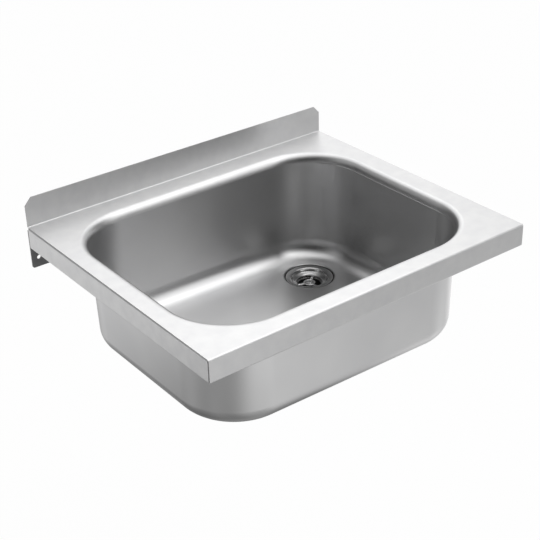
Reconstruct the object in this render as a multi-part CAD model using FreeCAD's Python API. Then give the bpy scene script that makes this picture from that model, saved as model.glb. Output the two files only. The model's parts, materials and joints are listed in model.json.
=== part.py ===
import FreeCAD, Part
import math
import os

# Wall-hung utility sink: a folded deck with a drawn bowl, an end plate at each side,
# two wall brackets on welded studs, and a waste that one screw clamps to the bowl.
# Millimetres. +X runs to the right along the wall, +Y into the wall, +Z up.
# The origin is the middle of the four wall-screw holes, on the face of the wall.

# Deck, upstand and aprons
SINK_WIDTH = 600.0
SINK_DEPTH = 500.0
SHEET = 1.2
BEND_RADIUS = 2.0            # inside every fold
UPSTAND_HEIGHT = 50.0        # above the deck
UPSTAND_CORNER_CUT = 13.0
APRON_HEIGHT = 38.0          # below the deck's top face
APRON_RETURN = 14.0          # fold-in along the lower edge
END_FLANGE = 12.0            # end plate's fold under the deck
SEAM_GAP = 0.8               # between neighbouring folded edges

# Bowl, measured on its inside just below the lip
BOWL_LEFT_MARGIN = 38.5
BOWL_RIGHT_MARGIN = 48.0
BOWL_FRONT_MARGIN = 41.0
BOWL_REAR_MARGIN = 52.0
BOWL_CORNER_RADIUS = 102.0
BOWL_DEPTH = 191.0           # deck to floor, at the middle
BOWL_DRAFT = 1.5             # degrees
BOWL_FLOOR_RADIUS = 33.0
BOWL_FLOOR_FALL = 0.019      # drop per length, towards the waste
BOWL_SHEET = 1.0
LIP_RADIUS = 13.0            # roll of the deck into the bowl
LIP_SKIRT = 1.0              # straight stretch below the roll
LIP_LAND = 1.0               # flat ring of deck round the roll

# Pad glued under the bowl's floor
PAD_LENGTH = 200.0
PAD_BREADTH = 180.0
PAD_THICKNESS = 2.5
PAD_CORNER_RADIUS = 20.0
PAD_SHIFT = 60.0             # to the left of the middle

# Wall brackets and their fastenings under the deck
BRACKET_SHEET = 2.0
BRACKET_WIDTH = 60.0
BRACKET_HEIGHT = 72.3        # below the deck's underside
BRACKET_REACH = 40.0
BRACKET_CORNER_RADIUS = 4.0
WALL_HOLE_RADIUS = 3.5
WALL_HOLE_FROM_END = 13.0
WALL_HOLE_SPACING = 39.0
WALL_HOLE_ABOVE_EDGE = 16.5
STUD_RADIUS = 3.0
STUD_CLEARANCE = 0.3
STUD_FROM_END = 27.0
STUD_SPACING = 22.0
STUD_FROM_WALL = 24.0
STUD_TAIL = 3.0
WASHER_RADIUS = 6.0
WASHER_THICKNESS = 1.6
NUT_ACROSS_FLATS = 10.0
NUT_HEIGHT = 5.0
THREAD_CLEARANCE = 0.1

# Waste: rim, cup and strainer above the bowl's floor
WASTE_FROM_SIDE = 94.0       # axis to the bowl's right-hand inside
WASTE_FROM_REAR = 91.0       # axis to the bowl's rear inside
RECESS_DEPTH = 4.0
RECESS_LEAN = 0.5            # how far its wall leans out per height
RECESS_CLEARANCE = 1.0
DRAIN_HOLE_CLEARANCE = 1.2
CUP_SHEET = 0.8
SEAT_RADIUS = 22.5           # plug seat's bore
SEAT_BEVEL = 3.0
SEAT_LEDGE = 8.0
RIM_WIDTH = 10.7
RIM_THICKNESS = 1.5
RIM_BEVEL = 0.6
CUP_STEP = 5.5
CUP_THROAT = 10.0
CUP_LIP = 2.0
TOP_SEAL_THICKNESS = 1.0
TOP_SEAL_INSET = 1.2
STRAINER_ARMS = 3
STRAINER_ARM_ANGLE = 37.0    # degrees from +X to the first arm
STRAINER_ARM_WIDTH = 5.0
STRAINER_ARM_THICKNESS = 3.0
STRAINER_CLEARANCE = 0.2
HUB_RADIUS = 10.7
HUB_RISE = 0.8               # above the arms
HUB_DROP = 1.4               # below the arms
HUB_HOLE_CLEARANCE = 0.3
HEAD_POCKET_DEPTH = 2.2
HEAD_POCKET_CLEARANCE = 1.6

# Waste: screw, seal, body and outlet tail below the bowl's floor
SCREW_RADIUS = 3.0
SCREW_HEAD_RADIUS = 5.4
SCREW_HEAD_HEIGHT = 2.6
SCREW_HEAD_BEVEL = 1.0
SCREW_SLOT_WIDTH = 1.3
SCREW_SLOT_DEPTH = 1.2
SCREW_TAIL = 3.0
SCREW_POINT_BEVEL = 0.8
RUNNING_CLEARANCE = 0.05
HEAD_SEAT_CLEARANCE = 0.1
UNDER_SEAL_THICKNESS = 4.0
UNDER_SEAL_WIDTH = 8.0
BODY_WALL = 3.0
BODY_FLANGE_THICKNESS = 5.0
BODY_FLANGE_OVERHANG = 1.5
BODY_THROAT_CLEARANCE = 4.0  # below the cup
BODY_CONE_HEIGHT = 16.0
TAIL_SOCKET_DEPTH = 10.0     # how far the outlet's tail enters the body
TAIL_SPIGOT_RADIUS = 22.4
TAIL_CLEARANCE = 0.1
OUTLET_RADIUS = 23.9         # outside of the tail's thread
OUTLET_BORE_RADIUS = 20.0
OUTLET_LENGTH = 40.0         # below the body
OUTLET_BEVEL = 1.0
BRIDGE_GAP = 5.0             # strainer hub to bridge
BRIDGE_ANGLE = 50.0          # degrees from +X
BRIDGE_WIDTH = 4.0
BRIDGE_HEIGHT = 12.0
BOSS_RADIUS = 8.0
INSERT_RADIUS = 5.0
INSERT_CLEARANCE = 0.1
INSERT_COLLAR_RADIUS = 7.0
INSERT_COLLAR_HEIGHT = 2.5

# Levels and places that follow from the sizes above
LOWER_HOLE_DROP = SHEET + BRACKET_HEIGHT - WALL_HOLE_ABOVE_EDGE
DECK_TOP = LOWER_HOLE_DROP - WALL_HOLE_SPACING / 2
DECK_UNDERSIDE = DECK_TOP - SHEET
APRON_BOTTOM = DECK_TOP - APRON_HEIGHT
UPSTAND_TOP = DECK_TOP + UPSTAND_HEIGHT
HALF_WIDTH = SINK_WIDTH / 2
LIP_BOTTOM = DECK_TOP - LIP_RADIUS - LIP_SKIRT
BOWL_LENGTH = SINK_WIDTH - BOWL_LEFT_MARGIN - BOWL_RIGHT_MARGIN
BOWL_BREADTH = SINK_DEPTH - BOWL_FRONT_MARGIN - BOWL_REAR_MARGIN
BOWL_MIDDLE_X = (BOWL_LEFT_MARGIN - BOWL_RIGHT_MARGIN) / 2
BOWL_MIDDLE_Y = -BOWL_REAR_MARGIN - BOWL_BREADTH / 2
BOWL_FLOOR = DECK_TOP - BOWL_DEPTH
FALL_ANGLE = math.degrees(math.atan(BOWL_FLOOR_FALL))
WASTE_X = HALF_WIDTH - BOWL_RIGHT_MARGIN - WASTE_FROM_SIDE
WASTE_Y = -BOWL_REAR_MARGIN - WASTE_FROM_REAR
FLOOR_AT_WASTE = BOWL_FLOOR - (WASTE_X - BOWL_MIDDLE_X) * BOWL_FLOOR_FALL
RECESS_FLOOR = FLOOR_AT_WASTE - RECESS_DEPTH
CUP_RADIUS = SEAT_RADIUS + SEAT_LEDGE
RIM_RADIUS = CUP_RADIUS + CUP_SHEET + RIM_WIDTH
DRAIN_HOLE_RADIUS = CUP_RADIUS + CUP_SHEET + DRAIN_HOLE_CLEARANCE
RIM_UNDERSIDE = RECESS_FLOOR + TOP_SEAL_THICKNESS
RIM_TOP = RIM_UNDERSIDE + RIM_THICKNESS
LEDGE_LEVEL = RIM_TOP - CUP_STEP
CUP_BOTTOM = LEDGE_LEVEL - CUP_THROAT
STRAINER_UNDERSIDE = CUP_BOTTOM + CUP_SHEET
STRAINER_TOP = STRAINER_UNDERSIDE + STRAINER_ARM_THICKNESS
HUB_TOP = STRAINER_TOP + HUB_RISE
HUB_UNDERSIDE = STRAINER_UNDERSIDE - HUB_DROP
HEAD_SEAT = HUB_TOP - HEAD_POCKET_DEPTH
UNDER_SEAL_TOP = RECESS_FLOOR - BOWL_SHEET
BODY_TOP = UNDER_SEAL_TOP - UNDER_SEAL_THICKNESS
UNDER_SEAL_RADIUS = DRAIN_HOLE_RADIUS + UNDER_SEAL_WIDTH
BODY_CONE_TOP = CUP_BOTTOM - BODY_THROAT_CLEARANCE
TAIL_TOP = BODY_CONE_TOP - BODY_CONE_HEIGHT
OUTLET_TOP = TAIL_TOP - TAIL_SOCKET_DEPTH
OUTLET_BOTTOM = OUTLET_TOP - OUTLET_LENGTH
BRIDGE_TOP = HUB_UNDERSIDE - BRIDGE_GAP
BRIDGE_BOTTOM = BRIDGE_TOP - BRIDGE_HEIGHT
INSERT_BOTTOM = BRIDGE_BOTTOM - INSERT_COLLAR_HEIGHT

SIDES = {"left": -1, "right": 1}
ORIGIN = FreeCAD.Vector(0, 0, 0)
UP = FreeCAD.Vector(0, 0, 1)
FULL_TURN = 360.0
QUARTER_TURN = 90.0
HEXAGON_SIDES = 6
SAME_PLACE = 1e-4


def point(x, y, z):
    return FreeCAD.Vector(x, y, z)


# Shapes that several pieces share

def block(x_range, y_range, z_range):
    """Box between two limits on each axis."""
    low = point(min(x_range), min(y_range), min(z_range))
    size = point(max(x_range), max(y_range), max(z_range)) - low
    return Part.makeBox(size.x, size.y, size.z, low)


def post(radius, x, y, bottom, top):
    """Upright cylinder between two levels."""
    return Part.makeCylinder(radius, top - bottom, point(x, y, bottom))


def outlined(corners):
    """Flat face inside a closed outline of corner points."""
    return Part.Face(Part.makePolygon(corners + corners[:1]))


def fold_line(corners, radius):
    """Straight runs between corner points, joined by bends of one radius."""
    edges = []
    start = corners[0]
    for before, corner, after in zip(corners, corners[1:], corners[2:]):
        back = (before - corner).normalize()
        onward = (after - corner).normalize()
        half_angle = back.getAngle(onward) / 2
        reach = radius / math.tan(half_angle)
        crest = corner + (back + onward).normalize() * (radius / math.sin(half_angle) - radius)
        bend_end = corner + onward * reach
        edges.append(Part.makeLine(start, corner + back * reach))
        edges.append(Part.Arc(corner + back * reach, crest, bend_end).toShape())
        start = bend_end
    edges.append(Part.makeLine(start, corners[-1]))
    return Part.Wire(edges)


def folded_sheet(corners, thickness, run):
    """Sheet folded along its middle line's corner points and drawn out along a vector."""
    middle_line = fold_line(corners, BEND_RADIUS + thickness / 2)
    one_face = middle_line.makeOffset2D(thickness / 2, openResult=True)
    section = one_face.makeOffset2D(-thickness, fill=True, openResult=True)
    return section.extrude(run)


def rounded_rectangle(half_length, half_breadth, radius, x, y, level):
    """Closed outline of four corner arcs joined by straight sides."""
    arcs = []
    for quarter, (side_x, side_y) in enumerate(((1, 1), (-1, 1), (-1, -1), (1, -1))):
        middle = point(x + side_x * (half_length - radius), y + side_y * (half_breadth - radius), level)
        start_angle = QUARTER_TURN * quarter
        arcs.append(Part.makeCircle(radius, middle, UP, start_angle, start_angle + QUARTER_TURN))
    edges = []
    for arc, following in zip(arcs, arcs[1:] + arcs[:1]):
        edges.append(arc)
        edges.append(Part.makeLine(arc.Vertexes[-1].Point, following.Vertexes[0].Point))
    return Part.Wire(edges)


def mouth_outline(growth, level):
    """The bowl mouth's outline, grown outwards, at a level."""
    half_length = BOWL_LENGTH / 2 + growth
    half_breadth = BOWL_BREADTH / 2 + growth
    radius = BOWL_CORNER_RADIUS + growth
    return rounded_rectangle(half_length, half_breadth, radius, BOWL_MIDDLE_X, BOWL_MIDDLE_Y, level)


def mouth_prism(growth, bottom, top):
    """Upright block on the bowl mouth's outline."""
    return Part.Face(mouth_outline(growth, bottom)).extrude(UP * (top - bottom))


def round_mouth_edge(ring, growth, level, radius):
    """Rounds a ring's inner edge loop, which follows the mouth's outline at a level."""
    limit = mouth_outline(growth + SAME_PLACE, level).BoundBox
    limit.enlarge(SAME_PLACE)
    loop = [edge for edge in ring.Edges if limit.isInside(edge.BoundBox)]
    return ring.makeFillet(radius, loop)


def turned(profile, x, y):
    """Solid turned about an upright axis from (radius, level) corners."""
    solid = outlined([point(radius, 0, level) for radius, level in profile]).revolve(ORIGIN, UP, FULL_TURN)
    solid.translate(point(x, y, 0))
    return solid


def waste_turned(profile):
    return turned(profile, WASTE_X, WASTE_Y)


def waste_post(radius, bottom, top):
    return post(radius, WASTE_X, WASTE_Y, bottom, top)


def waste_bar(x_range, width, z_range, angle):
    """Flat bar along a direction from the waste's axis."""
    bar = block(x_range, (-width / 2, width / 2), z_range)
    bar.rotate(ORIGIN, UP, angle)
    bar.translate(point(WASTE_X, WASTE_Y, 0))
    return bar


def on_floor(shape):
    """Tilts a shape drawn about level zero onto the bowl's falling floor."""
    shape.rotate(ORIGIN, point(0, 1, 0), FALL_ANGLE)
    shape.translate(point(BOWL_MIDDLE_X, 0, BOWL_FLOOR))
    return shape


# Deck and aprons

def make_deck_sheet():
    """Front return, apron, deck and upstand in one folded sheet, with the bowl's lip drawn in."""
    half = SHEET / 2
    front = -SINK_DEPTH + half
    corners = [
        point(-HALF_WIDTH, -SINK_DEPTH + APRON_RETURN, APRON_BOTTOM + half),
        point(-HALF_WIDTH, front, APRON_BOTTOM + half),
        point(-HALF_WIDTH, front, DECK_TOP - half),
        point(-HALF_WIDTH, -half, DECK_TOP - half),
        point(-HALF_WIDTH, -half, UPSTAND_TOP),
    ]
    sheet = folded_sheet(corners, SHEET, point(SINK_WIDTH, 0, 0))
    for side in SIDES.values():
        sheet = sheet.cut(upstand_corner(side))
        sheet = sheet.cut(front_return_end(side))
    reach = LIP_RADIUS + LIP_LAND
    sheet = sheet.cut(mouth_prism(reach, LIP_BOTTOM, DECK_TOP))
    return sheet.fuse(make_lip(reach)).removeSplitter()


def upstand_corner(side):
    """Slanting cut at one of the upstand's top corners."""
    end = side * HALF_WIDTH
    triangle = outlined([
        point(end, -SHEET, UPSTAND_TOP),
        point(end - side * UPSTAND_CORNER_CUT, -SHEET, UPSTAND_TOP),
        point(end, -SHEET, UPSTAND_TOP - UPSTAND_CORNER_CUT),
    ])
    return triangle.extrude(point(0, SHEET, 0))


def front_return_end(side):
    """Room for an end plate beside the front apron's return."""
    return block(
        (side * HALF_WIDTH, side * (HALF_WIDTH - SHEET - SEAM_GAP)),
        (-SINK_DEPTH + SHEET, -SINK_DEPTH + APRON_RETURN),
        (APRON_BOTTOM, APRON_BOTTOM + SHEET + BEND_RADIUS),
    )


def make_lip(reach):
    """Ring of deck round the mouth, rolled down to where the bowl is welded on."""
    ring = mouth_prism(reach, LIP_BOTTOM, DECK_TOP).cut(mouth_prism(0.0, LIP_BOTTOM, DECK_TOP))
    ring = round_mouth_edge(ring, 0.0, DECK_TOP, LIP_RADIUS)
    hollow = mouth_prism(reach, LIP_BOTTOM, DECK_UNDERSIDE).cut(mouth_prism(SHEET, LIP_BOTTOM, DECK_UNDERSIDE))
    hollow = round_mouth_edge(hollow, SHEET, DECK_UNDERSIDE, LIP_RADIUS - SHEET)
    return ring.cut(hollow)


def make_end_plate(side):
    """Side apron: a flange under the deck, a face flush with its edge, and a return."""
    half = SHEET / 2
    face = side * (HALF_WIDTH - half)
    front = -SINK_DEPTH + SHEET + BEND_RADIUS
    rear = -BRACKET_SHEET - SEAM_GAP
    corners = [
        point(side * (HALF_WIDTH - END_FLANGE), front, DECK_UNDERSIDE - half),
        point(face, front, DECK_UNDERSIDE - half),
        point(face, front, APRON_BOTTOM + half),
        point(side * (HALF_WIDTH - APRON_RETURN), front, APRON_BOTTOM + half),
    ]
    plate = folded_sheet(corners, SHEET, point(0, rear - front, 0))
    front_return_room = block(
        (side * (HALF_WIDTH - SHEET), side * (HALF_WIDTH - APRON_RETURN)),
        (front, -SINK_DEPTH + APRON_RETURN + SEAM_GAP),
        (APRON_BOTTOM, APRON_BOTTOM + SHEET + BEND_RADIUS),
    )
    return plate.cut(front_return_room)


# Bowl

def bowl_form(growth):
    """Solid that fills the bowl and its waste recess, grown outwards on all sides."""
    bottom = BOWL_FLOOR - BOWL_LENGTH * BOWL_FLOOR_FALL - BOWL_FLOOR_RADIUS
    inset = (LIP_BOTTOM - bottom) * math.tan(math.radians(BOWL_DRAFT))
    walls = Part.makeLoft([mouth_outline(growth, LIP_BOTTOM), mouth_outline(growth - inset, bottom)], True, True)
    ground = on_floor(block((-SINK_WIDTH, SINK_WIDTH), (-2 * SINK_DEPTH, SINK_DEPTH), (-BOWL_DEPTH, -growth)))
    form = walls.cut(ground)
    floor = min(form.Faces, key=lambda face: face.CenterOfMass.z)
    form = form.makeFillet(BOWL_FLOOR_RADIUS + growth, floor.OuterWire.Edges)
    recess_bottom = RECESS_FLOOR - growth
    recess_height = 2 * RECESS_DEPTH + growth
    recess_radius = RIM_RADIUS + RECESS_CLEARANCE + growth
    recess_mouth_radius = recess_radius + recess_height * RECESS_LEAN
    recess = Part.makeCone(recess_radius, recess_mouth_radius, recess_height, point(WASTE_X, WASTE_Y, recess_bottom))
    return form.fuse(recess)


def make_bowl():
    shell = bowl_form(BOWL_SHEET).cut(bowl_form(0.0))
    return shell.cut(waste_post(DRAIN_HOLE_RADIUS, UNDER_SEAL_TOP, RECESS_FLOOR))


def make_bowl_pad():
    """Sound-deadening pad under the floor."""
    outline = rounded_rectangle(
        PAD_LENGTH / 2, PAD_BREADTH / 2, PAD_CORNER_RADIUS, -PAD_SHIFT, BOWL_MIDDLE_Y, -BOWL_SHEET)
    return on_floor(Part.Face(outline).extrude(UP * -PAD_THICKNESS))


# Wall brackets and their fastenings

def make_wall_bracket(side):
    """Angle with a tab under the deck and a drilled leg on the wall."""
    half = BRACKET_SHEET / 2
    end = side * HALF_WIDTH
    bottom = DECK_UNDERSIDE - BRACKET_HEIGHT
    corners = [
        point(end, -BRACKET_REACH, DECK_UNDERSIDE - half),
        point(end, -half, DECK_UNDERSIDE - half),
        point(end, -half, bottom),
    ]
    bracket = folded_sheet(corners, BRACKET_SHEET, point(-side * BRACKET_WIDTH, 0, 0))
    end_flange_room = block(
        (end, end - side * (END_FLANGE + SEAM_GAP)),
        (-BRACKET_REACH, 0.0),
        (DECK_UNDERSIDE - BRACKET_SHEET - BEND_RADIUS, DECK_UNDERSIDE),
    )
    bracket = bracket.cut(end_flange_room)
    lower_corners = [edge for edge in bracket.Edges if is_across_sheet(edge, bottom)]
    bracket = bracket.makeFillet(BRACKET_CORNER_RADIUS, lower_corners)
    for rise in (0.0, WALL_HOLE_SPACING):
        hole_at = point(end - side * WALL_HOLE_FROM_END, -BRACKET_SHEET, bottom + WALL_HOLE_ABOVE_EDGE + rise)
        bracket = bracket.cut(Part.makeCylinder(WALL_HOLE_RADIUS, BRACKET_SHEET, hole_at, point(0, 1, 0)))
    for x, y in stud_places():
        hole = post(STUD_RADIUS + STUD_CLEARANCE, x, y, DECK_UNDERSIDE - BRACKET_SHEET, DECK_UNDERSIDE)
        bracket = bracket.cut(hole)
    return bracket


def is_across_sheet(edge, level):
    """True for a short edge through the bracket's sheet at a level."""
    box = edge.BoundBox
    at_level = max(abs(box.ZMin - level), abs(box.ZMax - level)) < SAME_PLACE
    return at_level and box.XLength < SAME_PLACE


def stud_places():
    """Places of the welded studs: two under the deck at each end."""
    places = []
    for side in SIDES.values():
        for step in (0.0, STUD_SPACING):
            places.append((side * (HALF_WIDTH - STUD_FROM_END - step), -STUD_FROM_WALL))
    return places


def at_studs(make_piece):
    """One separate solid of a piece at every stud."""
    return Part.makeCompound([make_piece(x, y) for x, y in stud_places()])


def make_stud(x, y):
    nut_bottom = DECK_UNDERSIDE - BRACKET_SHEET - WASHER_THICKNESS - NUT_HEIGHT
    return post(STUD_RADIUS, x, y, nut_bottom - STUD_TAIL, DECK_UNDERSIDE)


def make_washer(x, y):
    top = DECK_UNDERSIDE - BRACKET_SHEET
    bottom = top - WASHER_THICKNESS
    return post(WASHER_RADIUS, x, y, bottom, top).cut(post(STUD_RADIUS + STUD_CLEARANCE, x, y, bottom, top))


def make_nut(x, y):
    top = DECK_UNDERSIDE - BRACKET_SHEET - WASHER_THICKNESS
    bottom = top - NUT_HEIGHT
    corner_radius = NUT_ACROSS_FLATS / 2 / math.cos(math.pi / HEXAGON_SIDES)
    corners = []
    for index in range(HEXAGON_SIDES):
        angle = 2 * math.pi * index / HEXAGON_SIDES
        corners.append(point(x + corner_radius * math.cos(angle), y + corner_radius * math.sin(angle), bottom))
    prism = outlined(corners).extrude(UP * NUT_HEIGHT)
    return prism.cut(post(STUD_RADIUS + THREAD_CLEARANCE, x, y, bottom, top))


# Waste

def make_waste_flange():
    """Pressed rim and cup: a ledge, a bevelled plug seat and a lip that carries the strainer."""
    return waste_turned([
        (RIM_RADIUS, RIM_UNDERSIDE),
        (RIM_RADIUS, RIM_TOP - RIM_BEVEL),
        (RIM_RADIUS - RIM_BEVEL, RIM_TOP),
        (CUP_RADIUS + RIM_BEVEL, RIM_TOP),
        (CUP_RADIUS, RIM_TOP - RIM_BEVEL),
        (CUP_RADIUS, LEDGE_LEVEL),
        (SEAT_RADIUS + SEAT_BEVEL, LEDGE_LEVEL),
        (SEAT_RADIUS, LEDGE_LEVEL - SEAT_BEVEL),
        (SEAT_RADIUS, STRAINER_UNDERSIDE),
        (SEAT_RADIUS - CUP_LIP, STRAINER_UNDERSIDE),
        (SEAT_RADIUS - CUP_LIP, CUP_BOTTOM),
        (SEAT_RADIUS + CUP_SHEET, CUP_BOTTOM),
        (SEAT_RADIUS + CUP_SHEET, LEDGE_LEVEL - SEAT_BEVEL),
        (SEAT_RADIUS + SEAT_BEVEL, LEDGE_LEVEL - CUP_SHEET),
        (CUP_RADIUS + CUP_SHEET, LEDGE_LEVEL - CUP_SHEET),
        (CUP_RADIUS + CUP_SHEET, RIM_UNDERSIDE),
    ])


def make_strainer_cross():
    """Cast hub on arms that rest on the cup's lip."""
    reach = SEAT_RADIUS - STRAINER_CLEARANCE
    cross = waste_post(HUB_RADIUS, HUB_UNDERSIDE, HUB_TOP)
    for index in range(STRAINER_ARMS):
        angle = STRAINER_ARM_ANGLE + FULL_TURN * index / STRAINER_ARMS
        levels = (STRAINER_UNDERSIDE, STRAINER_TOP)
        cross = cross.fuse(waste_bar((0.0, reach), STRAINER_ARM_WIDTH, levels, angle))
    cross = cross.common(waste_post(reach, HUB_UNDERSIDE, HUB_TOP))
    cross = cross.cut(waste_post(SCREW_RADIUS + HUB_HOLE_CLEARANCE, HUB_UNDERSIDE, HUB_TOP))
    cross = cross.cut(waste_post(SCREW_HEAD_RADIUS + HEAD_POCKET_CLEARANCE, HEAD_SEAT, HUB_TOP))
    return cross.removeSplitter()


def make_waste_screw():
    """Slotted screw whose head draws the strainer, the cup and the body together."""
    head_bottom = HEAD_SEAT + HEAD_SEAT_CLEARANCE
    head_top = head_bottom + SCREW_HEAD_HEIGHT
    end = INSERT_BOTTOM - SCREW_TAIL
    screw = waste_turned([
        (0.0, end),
        (SCREW_RADIUS - SCREW_POINT_BEVEL, end),
        (SCREW_RADIUS, end + SCREW_POINT_BEVEL),
        (SCREW_RADIUS, head_bottom),
        (SCREW_HEAD_RADIUS, head_bottom),
        (SCREW_HEAD_RADIUS, head_top - SCREW_HEAD_BEVEL),
        (SCREW_HEAD_RADIUS - SCREW_HEAD_BEVEL, head_top),
        (0.0, head_top),
    ])
    slot_span = (-SCREW_HEAD_RADIUS, SCREW_HEAD_RADIUS)
    return screw.cut(waste_bar(slot_span, SCREW_SLOT_WIDTH, (head_top - SCREW_SLOT_DEPTH, head_top), BRIDGE_ANGLE))


def make_ring(inner, outer, bottom, top):
    return waste_turned([(inner, bottom), (outer, bottom), (outer, top), (inner, top)])


def make_top_seal():
    return make_ring(DRAIN_HOLE_RADIUS, RIM_RADIUS - TOP_SEAL_INSET, RECESS_FLOOR, RIM_UNDERSIDE)


def make_under_seal():
    return make_ring(DRAIN_HOLE_RADIUS, UNDER_SEAL_RADIUS, BODY_TOP, UNDER_SEAL_TOP)


def make_waste_body():
    """Funnel with a flange under the seal, a bridge for the screw and a socket for the outlet's tail."""
    flange_radius = UNDER_SEAL_RADIUS + BODY_FLANGE_OVERHANG
    wall_radius = DRAIN_HOLE_RADIUS + BODY_WALL
    socket_radius = TAIL_SPIGOT_RADIUS + TAIL_CLEARANCE
    neck_radius = socket_radius + BODY_WALL
    outside = [
        (flange_radius, BODY_TOP),
        (flange_radius, BODY_TOP - BODY_FLANGE_THICKNESS),
        (wall_radius, BODY_TOP - BODY_FLANGE_THICKNESS),
        (wall_radius, BODY_CONE_TOP),
        (neck_radius, TAIL_TOP),
        (neck_radius, OUTLET_TOP),
    ]
    bore = [
        (socket_radius, OUTLET_TOP),
        (socket_radius, TAIL_TOP),
        (OUTLET_BORE_RADIUS, TAIL_TOP),
        (DRAIN_HOLE_RADIUS, BODY_CONE_TOP),
        (DRAIN_HOLE_RADIUS, BODY_TOP),
    ]
    envelope = waste_turned(outside + [(0.0, OUTLET_TOP), (0.0, BODY_TOP)])
    bridge_span = (-wall_radius, wall_radius)
    bridge = waste_bar(bridge_span, BRIDGE_WIDTH, (BRIDGE_BOTTOM, BRIDGE_TOP), BRIDGE_ANGLE).common(envelope)
    boss = waste_post(BOSS_RADIUS, BRIDGE_BOTTOM, BRIDGE_TOP)
    body = waste_turned(outside + bore).fuse([bridge, boss]).removeSplitter()
    return body.cut(waste_post(INSERT_RADIUS + INSERT_CLEARANCE, BRIDGE_BOTTOM, BRIDGE_TOP))


def make_outlet_tail():
    """Threaded tube with a spigot in the body's socket; a trap's nut screws onto it."""
    return waste_turned([
        (OUTLET_BORE_RADIUS, TAIL_TOP),
        (TAIL_SPIGOT_RADIUS, TAIL_TOP),
        (TAIL_SPIGOT_RADIUS, OUTLET_TOP),
        (OUTLET_RADIUS, OUTLET_TOP),
        (OUTLET_RADIUS, OUTLET_BOTTOM + OUTLET_BEVEL),
        (OUTLET_RADIUS - OUTLET_BEVEL, OUTLET_BOTTOM),
        (OUTLET_BORE_RADIUS, OUTLET_BOTTOM),
    ])


def make_waste_insert():
    """Threaded sleeve in the bridge, with a collar that the screw pulls up against it."""
    bore = SCREW_RADIUS + RUNNING_CLEARANCE
    return waste_turned([
        (bore, INSERT_BOTTOM),
        (INSERT_COLLAR_RADIUS, INSERT_BOTTOM),
        (INSERT_COLLAR_RADIUS, BRIDGE_BOTTOM),
        (INSERT_RADIUS, BRIDGE_BOTTOM),
        (INSERT_RADIUS, BRIDGE_TOP),
        (bore, BRIDGE_TOP),
    ])


# Every piece of the sink under its own name

def make_pieces():
    pieces = {
        "deck_sheet": make_deck_sheet(),
        "bowl": make_bowl(),
        "bowl_sound_pad": make_bowl_pad(),
        "bracket_studs": at_studs(make_stud),
        "bracket_washers": at_studs(make_washer),
        "bracket_nuts": at_studs(make_nut),
        "waste_flange": make_waste_flange(),
        "waste_top_seal": make_top_seal(),
        "strainer_cross": make_strainer_cross(),
        "waste_screw": make_waste_screw(),
        "waste_under_seal": make_under_seal(),
        "waste_body": make_waste_body(),
        "waste_insert": make_waste_insert(),
        "outlet_tail": make_outlet_tail(),
    }
    for name, side in SIDES.items():
        pieces["end_plate_" + name] = make_end_plate(side)
        pieces["wall_bracket_" + name] = make_wall_bracket(side)
    return pieces


os.makedirs("parts", exist_ok=True)
for name, shape in make_pieces().items():
    shape.exportStep(os.path.join("parts", name + ".step"))
    print(name, len(shape.Solids), shape.isValid(), round(shape.Volume, 1))
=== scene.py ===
import bmesh
import bpy
import json
import math
from mathutils import Matrix, Vector


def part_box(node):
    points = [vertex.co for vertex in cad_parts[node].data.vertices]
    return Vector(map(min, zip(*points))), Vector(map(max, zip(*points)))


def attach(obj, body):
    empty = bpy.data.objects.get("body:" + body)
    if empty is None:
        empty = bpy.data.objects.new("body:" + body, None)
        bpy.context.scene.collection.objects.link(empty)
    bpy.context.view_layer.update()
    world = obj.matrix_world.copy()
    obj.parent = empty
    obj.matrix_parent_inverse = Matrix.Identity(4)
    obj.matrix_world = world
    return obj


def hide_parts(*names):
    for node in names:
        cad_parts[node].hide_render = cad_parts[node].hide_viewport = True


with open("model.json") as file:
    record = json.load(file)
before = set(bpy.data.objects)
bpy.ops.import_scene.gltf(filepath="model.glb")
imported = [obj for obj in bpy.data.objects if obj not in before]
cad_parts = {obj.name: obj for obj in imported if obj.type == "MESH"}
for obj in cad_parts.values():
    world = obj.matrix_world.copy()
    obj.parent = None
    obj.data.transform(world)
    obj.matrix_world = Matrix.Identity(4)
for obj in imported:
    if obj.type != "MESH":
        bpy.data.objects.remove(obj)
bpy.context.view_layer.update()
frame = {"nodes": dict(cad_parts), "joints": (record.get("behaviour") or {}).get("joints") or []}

# Wall-hung utility sink in satin stainless steel: folded deck, drawn bowl, end plates, brackets and waste.
# Metres. +X runs to the right along the wall, +Y into the wall, +Z up.

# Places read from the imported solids
DECK_LOW, DECK_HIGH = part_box("deck_sheet")
END_LOW, END_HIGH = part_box("end_plate_right")
BOWL_LOW, BOWL_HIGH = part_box("bowl")
RIM_LOW, RIM_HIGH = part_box("waste_flange")
CROSS_LOW, CROSS_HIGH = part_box("strainer_cross")
SCREW_LOW, SCREW_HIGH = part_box("waste_screw")
TOP_SEAL_LOW, TOP_SEAL_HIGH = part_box("waste_top_seal")
UNDER_SEAL_LOW, UNDER_SEAL_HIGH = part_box("waste_under_seal")
BODY_LOW, BODY_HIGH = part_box("waste_body")
INSERT_LOW, INSERT_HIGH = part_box("waste_insert")
TAIL_LOW, TAIL_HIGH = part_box("outlet_tail")
STUD_LOW, STUD_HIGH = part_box("bracket_studs")
WASHER_LOW, WASHER_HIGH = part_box("bracket_washers")
NUT_LOW, NUT_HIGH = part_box("bracket_nuts")
WASTE_AXIS = Vector(frame["joints"][0]["pos_m"])

# Folded sheet
SHEET = 0.0012
BEND = 0.002                    # inside every fold
UPSTAND_HEIGHT = 0.05
UPSTAND_CORNER_CUT = 0.013
APRON_RETURN = 0.014
END_FLANGE = 0.012
SEAM_GAP = 0.0008
SEAM_CLOSED = 0.0017            # end plates' faces drawn up to the front apron
DECK_END_INSET = 0.0008         # the end plates' bends show beside the deck
FOLD_STEPS = 8

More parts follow.
